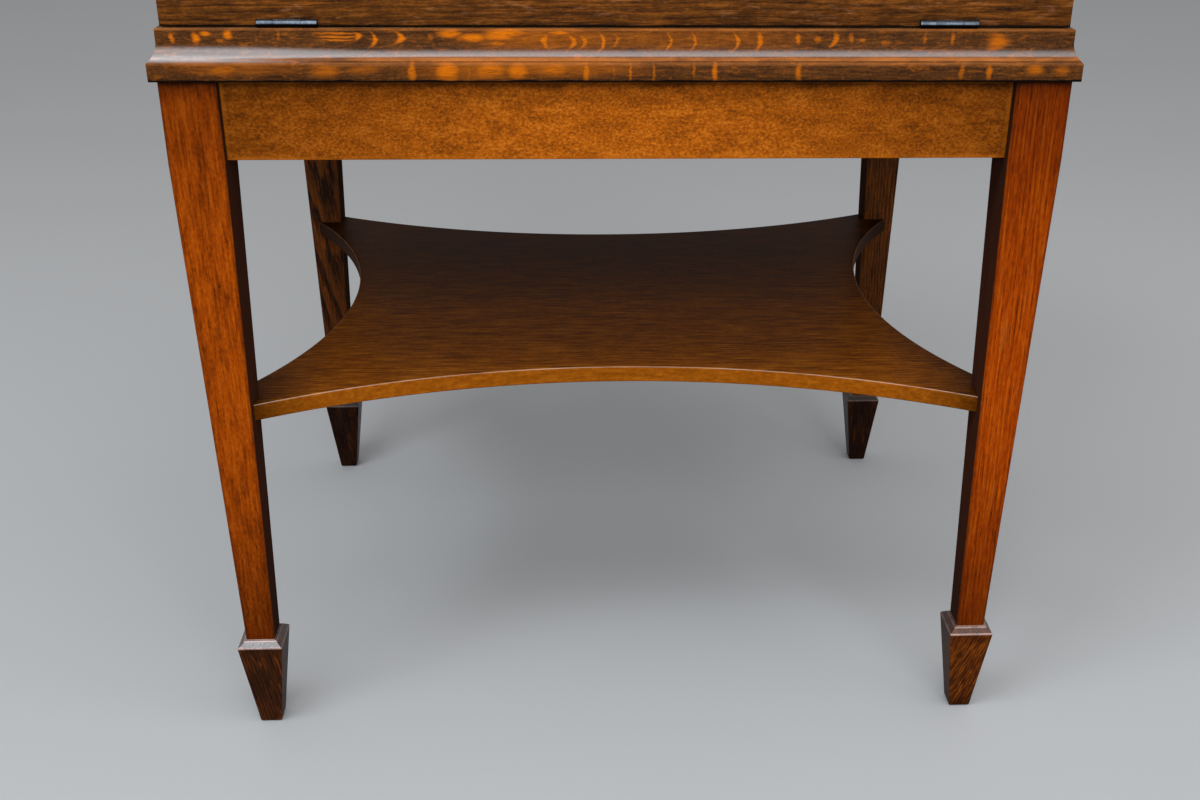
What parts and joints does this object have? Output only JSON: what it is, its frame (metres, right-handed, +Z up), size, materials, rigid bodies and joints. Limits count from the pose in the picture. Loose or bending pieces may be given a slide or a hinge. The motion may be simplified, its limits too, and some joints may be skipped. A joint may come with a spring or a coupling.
{
  "type": "cutlery cabinet on stand",
  "caption": "Oak cutlery chest with a rising lid and a fall front, on a stand with square tapered legs, spade feet, a hollow moulding and a hollow-sided shelf.",
  "frame": {"origin": "on the floor, under the middle of the cabinet's outline", "axes": "+X to the right seen from the front, +Y towards the back, +Z up"},
  "size_m": [0.6188, 0.5088, 0.7623],
  "materials": {
    "oak_leg": "satin",
    "oak_foot": "satin",
    "oak_apron": "satin",
    "oak_moulding": "satin",
    "oak_shelf": "satin",
    "oak_chest": "satin",
    "oak_plain": "matte",
    "steel": "worn",
    "brass": "aged",
    "baize": "matte"
  },
  "bodies": {
    "cabinet": {"leg_front_left": "oak_leg", "leg_front_right": "oak_leg", "leg_back_left": "oak_leg", "leg_back_right": "oak_leg", "foot_front_left": "oak_foot", "foot_front_right": "oak_foot", "foot_back_left": "oak_foot", "foot_back_right": "oak_foot", "apron_front": "oak_apron", "apron_back": "oak_apron", "apron_left": "oak_apron", "apron_right": "oak_apron", "shelf": "oak_shelf", "shelf_dowels": "oak_plain", "frame_rail_front": "oak_plain", "frame_rail_back": "oak_plain", "frame_rail_left": "oak_plain", "frame_rail_right": "oak_plain", "moulding_front": "oak_moulding", "moulding_back": "oak_moulding", "moulding_left": "oak_moulding", "moulding_right": "oak_moulding", "chest_bottom": "oak_plain", "chest_side_left": "oak_chest", "chest_side_right": "oak_chest", "chest_back": "oak_chest", "well_board": "oak_plain", "well_rail": "oak_chest", "well_racks": "baize", "drawer_runners": "oak_plain", "lower_drawer_front": "oak_chest", "lower_drawer_left": "oak_plain", "lower_drawer_right": "oak_plain", "lower_drawer_back": "oak_plain", "lower_drawer_bottom": "oak_plain", "lower_drawer_racks": "baize", "upper_drawer_front": "oak_chest", "upper_drawer_left": "oak_plain", "upper_drawer_right": "oak_plain", "upper_drawer_back": "oak_plain", "upper_drawer_bottom": "oak_plain", "upper_drawer_racks": "baize", "drawer_knobs": "brass", "flap_hinge_left_base_leaf": "steel", "flap_hinge_right_base_leaf": "steel", "flap_hinge_pins": "steel", "flap_hinge_base_screws": "steel", "lid_hinge_case_leaves": "brass", "lid_hinge_pins": "brass", "lid_hinge_case_screws": "brass"},
    "flap": {"flap": "oak_chest", "escutcheon": "brass", "lock_case": "brass", "flap_hinge_left_flap_leaf": "steel", "flap_hinge_right_flap_leaf": "steel", "flap_hinge_flap_screws": "steel"},
    "bolt": {"lock_bolt": "brass"},
    "lid": {"lid": "oak_chest", "lid_hinge_lid_leaves": "brass", "lid_hinge_lid_screws": "brass"}
  },
  "joints": [
    {"name": "flap_hinge", "type": "hinge", "parent": "cabinet", "child": "flap", "pos_m": [0, -0.245, 0.5596], "axis": [1, 0, 0], "range_deg": [0, 125]},
    {"name": "lid_hinge", "type": "hinge", "parent": "cabinet", "child": "lid", "pos_m": [0, 0.2481, 0.74215], "axis": [-1, 0, 0], "range_deg": [0, 95]},
    {"name": "bolt_slide", "type": "slide", "parent": "flap", "child": "bolt", "axis": [0, 0, 1], "range_m": [0, 0.005]}
  ]
}
